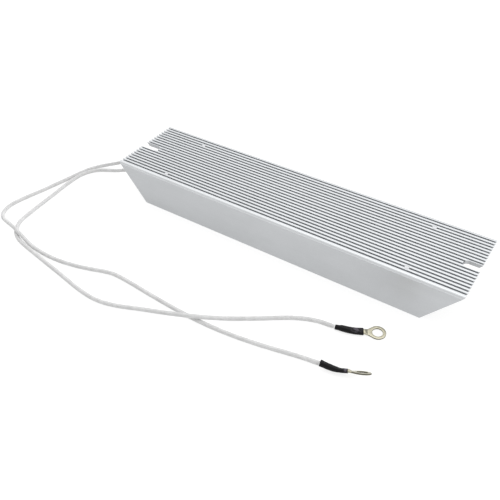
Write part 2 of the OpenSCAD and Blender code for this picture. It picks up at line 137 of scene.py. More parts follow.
@dataclass
class Surface(Graph):
    """The node tree of one material.

    Attributes:
        shader: Its shader node.
        coordinates: Its coordinate node.
    """

    shader: bpy.types.Node = field(init=False)
    coordinates: bpy.types.Node = field(init=False)

    def __post_init__(self) -> None:
        """Finds the shader and adds the coordinates."""
        self.shader = self.tree.nodes["Principled BSDF"]
        self.coordinates = self.add("TexCoord")

    def grain(self, length: float, width: float, detail: float = 3.0) -> bpy.types.Node:
        """Spreads irregular grains over the object.

        Args:
            length: Their size along X, in metres.
            width: Their size along Y and Z.
            detail: How many finer layers they have.

        Returns:
            The pattern, from 0 to 1.
        """
        counts = (1 / length, 1 / width, 1 / width)
        place = self.coordinates.outputs["Object"]
        scaled = self.add("VectorMath", (place, counts), operation="MULTIPLY")
        return self.add("TexNoise", {"Vector": scaled, "Scale": 1.0, "Detail": detail})

    def tint(self, colour: str, level: bpy.types.Node) -> None:
        """Colours the surface.

        Args:
            colour: sRGB hex value.
            level: What the colour is multiplied by.
        """
        scaled = self.add("VectorMath", {0: linear(colour)[:3], "Scale": level}, operation="SCALE")
        self.fill(self.shader.inputs["Base Color"], scaled)

    def swell(self, height: bpy.types.Node, depth: float) -> None:
        """Lets a pattern raise the surface, on top of what raises it already.

        Args:
            height: The pattern, from 0 to 1.
            depth: How far 1 stands above 0, in metres.
        """
        raised = self.add("Bump", {"Height": height, "Distance": depth, "Strength": 1.0})
        normal = self.shader.inputs["Normal"]
        if normal.is_linked:
            self.fill(raised.inputs["Normal"], normal.links[0].from_socket)
        self.fill(normal, raised)


class Slot(Enum):
    """The record's material slots."""

    HOUSING = "housing"
    MICA = "mica"
    FILLER = "filler"
    FORMER = "former"
    WINDING = "winding"
    CAP = "cap"
    CONDUCTOR = "conductor"
    FERRULE = "ferrule"
    END_BLOCK = "end_block"
    SEAL = "seal"
    PIN = "pin"
    BUSH = "bush"
    BRAID = "braid"
    SLEEVE = "sleeve"
    LUG = "lug"


@dataclass(frozen=True)
class Finish:
    """One surface finish, with its colour and its grain.

    Attributes:
        slot: The record's slot that it belongs to.
        name: The real material and how its surface was made.
        colour: sRGB hex value.
        roughness: Roughness of the surface.
        metallic: 1 for bare metal, 0 for anything else.
        grain: Size of the fine grain, in metres.
        grain_depth: Depth of the fine grain, in metres.
        mottle: How much the grain lightens and darkens the colour.
        gloss: Strength of the reflections from anything but bare metal.
        edge_tint: sRGB hex value of a bare metal seen at a low angle.
    """

    slot: Slot
    name: str
    colour: str
    roughness: float
    metallic: float = 0.0
    grain: float = 0.4 * MM
    grain_depth: float = 0.01 * MM
    mottle: float = 0.04
    gloss: float = 0.5
    edge_tint: str = "#FFFFFF"

    def material(self) -> bpy.types.Material:
        """Gives the finish's one material, built when it is first asked for.

        Returns:
            The material.
        """
        known = bpy.data.materials.get(self.name)
        if known:
            return known
        made = bpy.data.materials.new(self.name)
        made.use_nodes = True
        surface = Surface(made.node_tree)
        settings = {
            "Base Color": linear(self.colour),
            "Roughness": self.roughness,
            "Metallic": self.metallic,
            "Specular IOR Level": self.gloss,
            "Specular Tint": linear(self.edge_tint),
        }
        for name, value in settings.items():
            surface.fill(surface.shader.inputs[name], value)
        self.detail(surface)
        return made

    def mottled(
        self, surface: Surface, pattern: bpy.types.Node, swing: tuple[float, float] = SWING
    ) -> bpy.types.Node:
        """Turns a pattern into light and dark.

        Args:
            surface: The material's surface.
            pattern: The pattern.
            swing: The lowest and highest value that it nearly always keeps to.

        Returns:
            The level, about 1.
        """
        levels = (1 - self.mottle, 1 + self.mottle)
        return surface.add("MapRange", (pattern, *swing, *levels), **SMOOTH)

    def detail(self, surface: Surface) -> None:
        """Adds the fine grain that every plain finish has.

        Args:
            surface: The material's surface.
        """
        grain = surface.grain(self.grain, self.grain)
        surface.tint(self.colour, self.mottled(surface, grain, (0.25, 0.75)))
        surface.swell(grain, self.grain_depth)


@dataclass(frozen=True)
class ExtrudedAluminium(Finish):
    """Blasted satin aluminium with die lines along X and saw-cut ends, with painted shade in its
    grooves and a painted highlight and shade on its long edges.

    Attributes:
        mid_z: Height of the housing's middle.
        rib_z: How far the rib tops lie above and below the middle.
        groove_z: How far the groove floors do.
        groove_y: Half the width over all the grooves.
        groove_blend: Width over which the painted shade in the grooves ends there.
        groove_level: How bright a groove's floor is beside a rib's top, darkened as painted shade.
        edge_levels: How bright the painted highlight on the front edges and the painted shade on
            the rear ones are beside it.
        edge_slant: How slanted a long edge's rounding starts to count as edge, and does in full.
        edge_blend: Half the width over which the front edges' painted highlight passes into the
            rear ones' painted shade.
        end_slant: The same two limits for a saw-cut end.
        end_polish: How much smoother a saw-cut end is.
        die_grain: Length and width of a die line. Real ones are finer: these are drawn as wide as
            they need to be to show.
        die_depth: Depth of the die lines.
        die_roughness: How much smoother and rougher they are than the rest.
        saw_grain: Length and spacing of a saw mark.
        saw_depth: Depth of the saw marks.
        cloud: Width of the faint clouds that blasting leaves. They are three times as long.
        cloud_mottle: How much they lighten and darken the colour.
    """

    mid_z: float = 15 * MM
    rib_z: float = 14.95 * MM
    groove_z: float = 13.9 * MM
    groove_y: float = 28.2 * MM
    groove_blend: float = 0.3 * MM
    groove_level: float = 0.88
    edge_levels: tuple[float, float] = (1.32, 0.78)
    edge_slant: tuple[float, float] = (0.05, 0.4)
    edge_blend: float = 1 * MM
    end_slant: tuple[float, float] = (0.3, 0.6)
    end_polish: float = 0.08
    die_grain: tuple[float, float] = (90 * MM, 0.45 * MM)
    die_depth: float = 0.006 * MM
    die_roughness: float = 0.03
    saw_grain: tuple[float, float] = (14 * MM, 0.25 * MM)
    saw_depth: float = 0.012 * MM
    cloud: float = 9 * MM
    cloud_mottle: float = 0.015

    def detail(self, surface: Surface) -> None:
        """Adds blasting, die lines, painted shade in the grooves, a painted highlight and shade on
        the long edges, and saw marks.

        Args:
            surface: The material's surface.
        """
        add, sources = surface.add, surface.coordinates.outputs
        place = add("SeparateXYZ", (sources["Object"],)).outputs
        facing = add("SeparateXYZ", (sources["Normal"],)).outputs
        grain = surface.grain(self.grain, self.grain, 2.0)
        cloud = surface.grain(3 * self.cloud, self.cloud, 2.0)
        lines = surface.grain(*self.die_grain)

        endwise = add("Math", (facing["X"],), operation="ABSOLUTE")
        cut = add("MapRange", (endwise, *self.end_slant), **SMOOTH)
        across = add("Math", (place["Y"], self.saw_grain[0]), operation="DIVIDE")
        upward = add("Math", (place["Z"], self.saw_grain[1]), operation="DIVIDE")
        saw_place = add("CombineXYZ", (across, upward))
        saw = add("TexNoise", {"Vector": saw_place, "Scale": 1.0, "Detail": 2.0})

        # Painted shade: the groove floors are darkened, standing in for the shade that falls inside
        # the grooves.
        height = add("Math", (place["Z"], self.mid_z), operation="SUBTRACT")
        off_mid = add("Math", (height,), operation="ABSOLUTE")
        sunk = add("MapRange", (off_mid, self.rib_z, self.groove_z), **SMOOTH)
        off_line = add("Math", (place["Y"],), operation="ABSOLUTE")
        rim = (self.groove_y, self.groove_y - self.groove_blend)
        inside = add("MapRange", (off_line, *rim), **SMOOTH)
        painted_groove_shade = add("Math", (sunk, inside), operation="MULTIPLY")
        shaded_grooves = add("MapRange", (painted_groove_shade, 0.0, 1.0, 1.0, self.groove_level), **SMOOTH)
        clouds = (1 - self.cloud_mottle, 1 + self.cloud_mottle)
        clouded = add("MapRange", (cloud, *SWING, *clouds), **SMOOTH)

        # Painted highlight and shade: the rounded front edges are lightened and the rear ones
        # darkened, standing in for what they reflect.
        skew = add("Math", (facing["Y"], facing["Z"]), operation="MULTIPLY")
        slant = add("Math", (skew,), operation="ABSOLUTE")
        slanted = add("MapRange", (slant, *self.edge_slant), **SMOOTH)
        outside = add("Math", (1.0, inside), operation="SUBTRACT")
        edge = add("Math", (outside, slanted), operation="MULTIPLY")
        gains = [level - 1 for level in self.edge_levels]
        gain = add("MapRange", (place["Y"], -self.edge_blend, self.edge_blend, *gains), **SMOOTH)
        painted_edge_shading = add("Math", (edge, gain, 1.0), operation="MULTIPLY_ADD")

        level = self.mottled(surface, grain)
        for other in (shaded_grooves, clouded, painted_edge_shading):
            level = add("Math", (level, other), operation="MULTIPLY")
        surface.tint(self.colour, level)

        spread = (self.roughness - self.die_roughness, self.roughness + self.die_roughness)
        lined = add("MapRange", (lines, *SWING, *spread), **SMOOTH)
        polished = add("MapRange", (cut, 0.0, 1.0, 0.0, -self.end_polish), **SMOOTH)
        rough = add("Math", (lined, polished), operation="ADD")
        surface.fill(surface.shader.inputs["Roughness"], rough)
        surface.swell(grain, self.grain_depth)
        uncut = add("Math", (1.0, cut), operation="SUBTRACT")
        for pattern, where, depth in ((lines, uncut, self.die_depth), (saw, cut, self.saw_depth)):
            surface.swell(add("Math", (pattern, where), operation="MULTIPLY"), depth)


@dataclass(frozen=True)
class WovenBraid(Finish):
    """Glass-fibre braid. The piece's UV map is in millimetres, along the lead and round it.

    The piece's "frayed" attribute marks its loose white end.

    Attributes:
        strand: Width of a strand bundle, in millimetres.
        weave_depth: How far a bundle stands out where it crosses over another.
        under_level: How high a bundle is where it dives, beside where it crosses over.
        weave_levels: How bright the gaps between bundles, darkened as painted shade, and their
            crowns are.
        blotch: Size of the blotches along the lead.
        blotch_levels: How bright they are.
        fray_level: How bright the loose end is.
    """

    strand: float = 0.733
    weave_depth: float = 0.12 * MM
    under_level: float = 0.6
    weave_levels: tuple[float, float] = (0.72, 1.06)
    blotch: float = 4 * MM
    blotch_levels: tuple[float, float] = (0.94, 1.05)
    fray_level: float = 1.5

    def detail(self, surface: Surface) -> None:
        """Adds two sets of bundles that cross over and under one another, with painted shade in the
        gaps between them.

        Args:
            surface: The material's surface.
        """
        add = surface.add
        axes = add("SeparateXYZ", (surface.coordinates.outputs["UV"],)).outputs
        arcs, floors, crowns = [], [], []
        for kind in ("ADD", "SUBTRACT"):
            diagonal = add("Math", (axes["X"], axes["Y"]), operation=kind)
            count = add("Math", (diagonal, self.strand), operation="DIVIDE")
            share = add("Math", (count,), operation="FRACT")
            angle = add("Math", (share, math.pi), operation="MULTIPLY")
            arcs.append(add("Math", (angle,), operation="SINE"))
            floors.append(add("Math", (count,), operation="FLOOR"))
        for arc, other in (arcs, arcs[::-1]):
            crown = add("Math", (arc, 0.5), operation="POWER")
            dive = add("MapRange", (other, 0.0, 1.0, self.under_level, 1.0), **SMOOTH)
            crowns.append(add("Math", (crown, dive), operation="MULTIPLY"))
        cell = add("Math", floors, operation="ADD")
        over = add("Math", (cell, 2.0), operation="FLOORED_MODULO")
        height = add("Mix", {"Factor": over, "A": crowns[0], "B": crowns[1]})
        fibres = surface.grain(self.grain, self.grain)
        blotches = surface.grain(self.blotch, self.blotch, 2.0)

        # Painted shade: the weave is darker where it lies deep, in the gaps between bundles.
        level = add("MapRange", (height, 0.1, 0.9, *self.weave_levels), **SMOOTH)
        blotched = add("MapRange", (blotches, *SWING, *self.blotch_levels), **SMOOTH)
        for other in (self.mottled(surface, fibres), blotched):
            level = add("Math", (level, other), operation="MULTIPLY")
        frayed = add("Attribute", attribute_name="frayed").outputs["Fac"]
        white = add("Math", (frayed, self.fray_level), operation="MULTIPLY")
        surface.tint(self.colour, add("Math", (level, white), operation="MAXIMUM"))
        surface.swell(height, self.weave_depth)
        surface.swell(fibres, self.grain_depth)


@dataclass(frozen=True)
class ShrunkPlastic(Finish):
    """Heat-shrunk sleeving. The piece's "rubbed" attribute marks where a painted sheen lightens it.

    Attributes:
        rubbed: sRGB hex value of the painted sheen.
        patch: Where on the ripples the painted sheen starts, and where it is complete.
        ripple: Width of the shrinking ripples, in metres. They are twice as long.
        ripple_depth: Their depth.
    """

    rubbed: str = "#5A555E"
    patch: tuple[float, float] = (0.35, 0.6)
    ripple: float = 1.6 * MM
    ripple_depth: float = 0.1 * MM

    def detail(self, surface: Surface) -> None:
        """Adds ripples, a fine grain and the painted sheen.

        Args:
            surface: The material's surface.
        """
        grain = surface.grain(self.grain, self.grain)
        ripples = surface.grain(2 * self.ripple, self.ripple, 2.0)
        # Painted sheen: a lighter colour on the marked patches stands in for a reflection.
        worn = surface.add("Attribute", attribute_name="rubbed").outputs["Fac"]
        crests = surface.add("MapRange", (ripples, *self.patch), **SMOOTH)
        patchy = surface.add("Math", (worn, crests), operation="MULTIPLY")
        colours = (linear(self.colour), linear(self.rubbed))
        colour = surface.add("MixRGB", (patchy, *colours))
        surface.fill(surface.shader.inputs["Base Color"], colour)
        surface.swell(ripples, self.ripple_depth)
        surface.swell(grain, self.grain_depth)


@dataclass(frozen=True)
class TinPlate(Finish):
    """Stamped and tinned sheet. The piece's "rim" attribute marks its cut edges.

    Attributes:
        rim_level: How bright a cut edge is beside the flat, darkened as painted shade.
    """

    rim_level: float = 0.28

    def detail(self, surface: Surface) -> None:
        """Adds a soft mottle and painted shade on the cut edges.

        Args:
            surface: The material's surface.
        """
        grain = surface.grain(self.grain, self.grain)
        # Painted shade: the cut edges are darkened, standing in for the darker light they reflect.
        rim = surface.add("Attribute", attribute_name="rim").outputs["Fac"]
        painted_edge_shading = surface.add("MapRange", (rim, 0.0, 1.0, 1.0, self.rim_level), **SMOOTH)
        level = surface.add("Math", (self.mottled(surface, grain), painted_edge_shading), operation="MULTIPLY")
        surface.tint(self.colour, level)
        surface.swell(grain, self.grain_depth)


FINISHES: dict[Slot, Finish] = {
    finish.slot: finish
    for finish in (
        # Blasting breaks up the mirror: an even light grey that spreads what it reflects.
        ExtrudedAluminium(
            Slot.HOUSING, "blasted extruded aluminium", "#C9CBCD", 0.42, 1.0,
            0.3 * MM, 0.012 * MM, 0.03, edge_tint="#B0B0B0",
        ),
        # Split sheets of mica have a warm brown sheen.
        Finish(Slot.MICA, "mica sheet", "#A88A5C", 0.45),
        # Packed powder is chalky, without any gloss.
        Finish(Slot.FILLER, "packed mineral powder", "#CFCBC0", 0.95),
        # Fired ceramic without glaze is warm white and dry.
        Finish(Slot.FORMER, "unglazed alumina", "#E6E2D8", 0.7),
        # Drawn resistance wire is a dark grey metal with a soft gloss.
        Finish(Slot.WINDING, "drawn nickel-chrome wire", "#86837E", 0.4, 1.0),
        # Pressed steel keeps the press's smooth, slightly warm gloss.
        Finish(Slot.CAP, "pressed stainless steel", "#BDBAB2", 0.35, 1.0),
        # Bare strands shine red-brown.
        Finish(Slot.CONDUCTOR, "stranded copper", "#C98A5A", 0.4, 1.0),
        # Bare brass shines yellow.
        Finish(Slot.FERRULE, "plain brass", "#C2A45E", 0.35, 1.0),
        # Steatite without glaze is matt and slightly yellow.
        Finish(Slot.END_BLOCK, "unglazed steatite", "#DFD9C8", 0.8),
        # Silicone that cured in place is pale, with a skin that shines a little.
        Finish(Slot.SEAL, "cured silicone", "#E4E1D8", 0.55),
        # Cut pin ends are a plain grey, duller than a polished pin.
        Finish(Slot.PIN, "cut plain aluminium", "#BFC0C2", 0.45, 1.0),
        # Dense white ceramic has a soft gloss.
        Finish(Slot.BUSH, "white steatite", "#EDEAE0", 0.5),
        # Glass fibre is a matt white, with painted shade in the gaps of its weave.
        WovenBraid(
            Slot.BRAID, "braided glass fibre", "#DDDDDD", 0.85, 0.0, 0.15 * MM, 0.01 * MM, 0.06
        ),
        # Shrunk plastic is a deep black with soft highlights, and a painted sheen on the ripples of
        # its top.
        ShrunkPlastic(
            Slot.SLEEVE, "heat-shrunk polyolefin", "#0D0C0F", 0.38, 0.0, 0.3 * MM, 0.008 * MM,
            gloss=0.2,
        ),
        # Tin over stamped copper is a warm, slightly clouded silver.
        TinPlate(
            Slot.LUG, "tin plate over copper", "#BFBBA7", 0.34, 1.0, 0.5 * MM, 0.01 * MM, 0.06
        ),
    )
}


# ---------------------------------------------------------------------------------------------
# Routes and tubes
# ---------------------------------------------------------------------------------------------


@dataclass
class Route:
    """A smooth line through points, sampled evenly, with a frame at each sample that doesn't twist.

    Attributes:
        points: The points that the line passes through, in millimetres.
        step: The distance between samples. It is fitted so that they come out even.
        line: The samples.
        ahead: The way on at each sample.
        across: A side direction at each sample.
    """

    points: Sequence[Point]
    step: float
    line: list[Vector] = field(init=False)
    ahead: list[Vector] = field(init=False)
    across: list[Vector] = field(init=False)

    def __post_init__(self) -> None:
        """Samples the line and carries a side direction along it."""
        self.line = self._even(self._curve())
        last = len(self.line) - 1
        self.ahead = [
            (self.line[min(i + 1, last)] - self.line[max(i - 1, 0)]).normalized()
            for i in range(last + 1)
        ]
        side = self.ahead[0].cross(Vector((0, 0, 1))).normalized()
        self.across = []
        for way in self.ahead:
            side = (side - side.dot(way) * way).normalized()
            self.across.append(side.copy())

    @property
    def length(self) -> float:
        """Length of the sampled line."""
        return self.step * (len(self.line) - 1)

    def _curve(self) -> list[Vector]:
        """Passes a smooth curve through the points.

        Returns:
            Closely spaced places on the curve.
        """
        spots = [Vector(p) for p in self.points]
        padded = [2 * spots[0] - spots[1], *spots, 2 * spots[-1] - spots[-2]]
        found: list[Vector] = []
        for a, b, c, d in zip(padded, padded[1:], padded[2:], padded[3:]):
            span = (c - b).length
            leave = (c - a).normalized() * span
            arrive = (d - b).normalized() * span
            count = max(2, math.ceil(span / self.step))
            for i in range(count):
                t = i / count
                found.append(
                    (2 * t**3 - 3 * t**2 + 1) * b
                    + (t**3 - 2 * t**2 + t) * leave
                    + (3 * t**2 - 2 * t**3) * c
                    + (t**3 - t**2) * arrive
                )
        return [*found, spots[-1]]

    def _even(self, curve: list[Vector]) -> list[Vector]:
        """Places samples at equal distances along a curve.

        Args:
            curve: Closely spaced places on it.

        Returns:
            The evenly spaced samples.
        """
        total = sum((b - a).length for a, b in zip(curve, curve[1:]))
        count = max(2, round(total / self.step))
        self.step = total / count
        samples, walked, goal = [curve[0]], 0.0, self.step
        for a, b in zip(curve, curve[1:]):
            span = (b - a).length
            while span > 0 and goal <= walked + span and len(samples) < count:
                samples.append(a.lerp(b, (goal - walked) / span))
                goal += self.step
            walked += span
        return [*samples, curve[-1]]


def wrap(
    rings: int,
    sides: int,
    place: Callable[[int, float], Vector],
    uv_size: tuple[float, float] = (1.0, 1.0),
    closed: bool = False,
) -> bmesh.types.BMesh:
    """Rolls a grid into a tube and keeps the grid's UV map.

    Args:
        rings: Number of steps along the tube, from its first ring to its last.
        sides: Number of sides round it.
        place: Gives the place of a vertex, in metres, from its ring and its angle.
        uv_size: Size of the UV map, along the tube and round it.
        closed: True if the last ring meets the first, as in a hollow sleeve.

    Returns:
        The tube.
    """
    bm = bmesh.new()
    layer = bm.loops.layers.uv.new("UVMap")
    bmesh.ops.create_grid(bm, x_segments=rings, y_segments=sides, size=0.5, calc_uvs=True)
    for face in bm.faces:
        for loop in face.loops:
            loop[layer].uv.x *= uv_size[0]
            loop[layer].uv.y *= uv_size[1]
    for vert in bm.verts:
        turn = 2 * math.pi * (round((vert.co.y + 0.5) * sides) % sides) / sides
        vert.co = place(round((vert.co.x + 0.5) * rings), turn)
    bmesh.ops.remove_doubles(bm, verts=bm.verts[:], dist=WELD)
    if not closed:
        bmesh.ops.holes_fill(bm, edges=[e for e in bm.edges if e.is_boundary], sides=0)
    bmesh.ops.recalc_face_normals(bm, faces=bm.faces[:])
    return bm


def mark(
    bm: bmesh.types.BMesh, name: str, level: Callable[[bmesh.types.BMVert], float]
) -> None:
    """Writes a level into an attribute of every vertex.

    Args:
        bm: The mesh.
        name: The attribute's name.
        level: Gives a vertex's level.
    """
    layer = bm.verts.layers.float.new(name)
    for vert in bm.verts:
        vert[layer] = level(vert)


def finished(name: str, bm: bmesh.types.BMesh, smooth: float = 40.0) -> bpy.types.Object:
    """Turns a bmesh into a shown object, smooth up to an angle.

    Args:
        name: The object's name.
        bm: The mesh, which is freed.
        smooth: Edges sharper than this many degrees stay sharp.

    Returns:
        The object.
    """
    for face in bm.faces:
        face.smooth = True
    for edge in bm.edges:
        edge.smooth = edge.calc_face_angle(0) < math.radians(smooth)
    # Some operators don't leave their parts in a fixed order, so the order is set here.
    orders = (
        (bm.verts, lambda vert: tuple(vert.co)),
        (bm.faces, lambda face: tuple(face.calc_center_median())),
    )
    for parts, place in orders:
        for rank, part in enumerate(sorted(parts, key=place)):
            part.index = rank
        parts.sort()
    mesh = bpy.data.meshes.new(name)
    bm.to_mesh(mesh)
    bm.free()
    made = bpy.data.objects.new(name, mesh)
    bpy.context.scene.collection.objects.link(made)
    return made


@dataclass
class Model:
    """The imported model.

    Attributes:
        nodes: Its nodes by name.
        slots: The record's slot for each.
    """

    nodes: dict[str, bpy.types.Object]
    slots: dict[str, Slot]

    @classmethod
    def loaded(cls) -> "Model":
        """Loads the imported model.

        Returns:
            The model.
        """
        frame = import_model()
        slots = {s["node"]: Slot(s["material_slot"]) for s in frame["record"]["subparts"]}
        return cls(frame["nodes"], slots)

    def dress(self, *names: str) -> list[bpy.types.Object]:
        """Gives CAD nodes the finish of their slot.

        Args:
            names: The nodes' names.

        Returns:
            Their objects.
        """
        dressed = []
        for name in names:
            node, finish = self.nodes[name], FINISHES[self.slots[name]]
            node.data.materials.clear()
            node.data.materials.append(finish.material())
            LOG.info("%s: CAD node, finish %s", name, finish.slot.value)
            dressed.append(node)
        return dressed

    def stand_in(self, piece: bpy.types.Object, slot: Slot, *names: str) -> bpy.types.Object:
        """Dresses a modelled piece and shows it in place of CAD nodes.

        Args:
            piece: The piece.
            slot: Its material slot.
            names: The CAD nodes that it stands for.

        Returns:
            The piece.
        """
        piece.data.materials.append(FINISHES[slot].material())
        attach(piece, "root")
        if names:
            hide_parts(*names)
        LOG.info("%s: %d faces, finish %s", piece.name, len(piece.data.polygons), slot.value)
        return piece


# ---------------------------------------------------------------------------------------------
# Studio
# ---------------------------------------------------------------------------------------------


@dataclass
class Studio:
    """Camera, lamp, light table and surroundings.

    Attributes:
        azimuth: Angle from -Y to the camera, towards +X, in radians.
        elevation: Angle from the table up to the camera, in radians.
        roll: Turn of the camera about its own line of sight, in radians.
        eye: Place of the camera, in metres.
        focal: Focal length, in millimetres.
        sensor: Width of the sensor, in millimetres.
        near_sky: Light from the camera's side of the object.
        far_sky: Light from behind the object, which the ribs mirror.
        sky_turn: Sine of the angle on each side of the X axis over which the one passes into the
            other.
        table_size: Length of the table's sides, in metres.
        table_drop: How far it lies under the object, in metres.
        table_colour: sRGB hex value.
        table_glow: Light that the table gives off by itself.
        table_lift: Light that only its picture gains, so that it is seen white.
        lamp_power: Power of the lamp, in watts.
        lamp_size: Length of its sides, in metres.
        lamp_place: Its place, in metres.
    """

    azimuth: float = 0.605
    elevation: float = 0.7201
    roll: float = -0.0239
    eye: Point = (0.16801, -0.29466, 0.27872)
    focal: float = 43.726
    sensor: float = 36.0
    near_sky: float = 0.7
    far_sky: float = 1.6
    sky_turn: float = 0.6
    table_size: float = 6.0
    table_drop: float = 0.05 * MM
    table_colour: str = "#959595"
    table_glow: float = 0.68
    table_lift: float = 0.12
    lamp_power: float = 0.7
    lamp_size: float = 0.8
    lamp_place: Point = (0.1, 0.4, 1.1)

    def build(self) -> None:
        """Sets up the whole studio."""
        self._camera()
        self._lamp()
        self._table()
        self._surroundings()
        bpy.context.scene.view_settings.view_transform = "Standard"
        LOG.info("studio: camera, lamp, light table and surroundings")

    def _camera(self) -> None:
        """Places the camera where the object was looked at from."""
        flat = math.cos(self.elevation)
        backward = Vector(
            (
                math.sin(self.azimuth) * flat,
                -math.cos(self.azimuth) * flat,
                math.sin(self.elevation),
            )
        )
        right = Vector((0, 0, 1)).cross(backward).normalized()
        upward = backward.cross(right)
        turn = Matrix.Rotation(self.roll, 3, backward)
        right, upward = turn @ right, turn @ upward
        camera = bpy.data.objects.new("camera", bpy.data.cameras.new("camera"))
        camera.data.lens = self.focal
        camera.data.sensor_width = self.sensor
        camera.matrix_world = (
            Matrix.Translation(self.eye) @ Matrix((right, upward, backward)).transposed().to_4x4()
        )
        bpy.context.scene.collection.objects.link(camera)
        bpy.context.scene.camera = camera

    def _lamp(self) -> None:
        """Hangs one large soft lamp over the object."""
        light = bpy.data.lights.new("softbox", "AREA")
        light.size = self.lamp_size
        light.energy = self.lamp_power
        lamp = bpy.data.objects.new("softbox", light)
        lamp.location = self.lamp_place
        lamp.rotation_euler = (-math.atan2(self.lamp_place[1], self.lamp_place[2]), 0, 0)
        bpy.context.scene.collection.objects.link(lamp)

    def _table(self) -> None:
        """Lays a glowing white table that keeps a faint soft shadow."""
        bm = bmesh.new()
        bmesh.ops.create_grid(bm, x_segments=1, y_segments=1, size=self.table_size / 2)
        bmesh.ops.translate(bm, verts=bm.verts[:], vec=(0, 0, -self.table_drop))
        table = finished("table", bm)
        made = bpy.data.materials.new("light table")
        made.use_nodes = True
        graph = Graph(made.node_tree)
        seen = graph.add("LightPath").outputs["Is Camera Ray"]
        glows = (self.table_glow, self.table_glow + self.table_lift)
        settings = {
            "Base Color": linear(self.table_colour),
            "Roughness": 1.0,
            "Specular IOR Level": 0.0,
            "Emission Color": (1, 1, 1, 1),
            "Emission Strength": graph.add("MapRange", (seen, 0.0, 1.0, *glows)),
        }
        shader = made.node_tree.nodes["Principled BSDF"]
        for name, value in settings.items():
            graph.fill(shader.inputs[name], value)
        table.data.materials.append(made)

    def _surroundings(self) -> None:
        """Fills the surroundings with light, brighter behind the object, white where it is seen."""
        world = bpy.data.worlds.new("surroundings")
        world.use_nodes = True
        bpy.context.scene.world = world
        graph = Graph(world.node_tree)
        back = world.node_tree.nodes["Background"]
        aim = graph.add("TexCoord").outputs["Generated"]
        depth = graph.add("SeparateXYZ", (aim,)).outputs["Y"]
        turn = (-self.sky_turn, self.sky_turn)
        sky = graph.add("MapRange", (depth, *turn, self.near_sky, self.far_sky), **SMOOTH)
        seen = graph.add("LightPath").outputs["Is Camera Ray"]
        graph.fill(back.inputs["Color"], (1, 1, 1, 1))
        level = graph.add("Mix", {"Factor": seen, "A": sky, "B": 1.0})
        graph.fill(back.inputs["Strength"], level)


# ---------------------------------------------------------------------------------------------
# The body
# ---------------------------------------------------------------------------------------------


@dataclass
class AsPacked:
    """A sub-assembly that is shown by its own CAD nodes.

    Attributes:
        nodes: Their names.
    """

    nodes: Sequence[str]

    def build(self, model: Model) -> None:
        """Dresses the nodes.

        Args:
            model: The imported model.
        """
        model.dress(*self.nodes)


@dataclass
class Housing(AsPacked):
    """The extruded housing."""

    nodes: Sequence[str] = ("housing",)


@dataclass
class EndClosures(AsPacked):
    """The end blocks and seals, the lead bushes and the four pins."""

    nodes: Sequence[str] = (
        *(f"{kind}_{side}" for kind in ("end_block", "seal") for side in ("left", "right")),
        "bush_front",
        "bush_rear",
        "closure_pins",
    )


@dataclass
class ResistanceElements(AsPacked):
    """What is packed inside the housing: two wound formers in series, their liner and filler."""

    nodes: Sequence[str] = (
        "mica_liner",
        "filler",
        "series_link",
        *(
            kind.format(lead)
            for lead in ("front", "rear")
            for kind in (
                "former_{}",
                "winding_{}",
                "cap_{}_left",
                "cap_{}_right",
                "conductor_{}",
                "ferrule_{}",
            )
        ),
    )


# ---------------------------------------------------------------------------------------------
# Flying leads. Their sizes are in millimetres.
# ---------------------------------------------------------------------------------------------


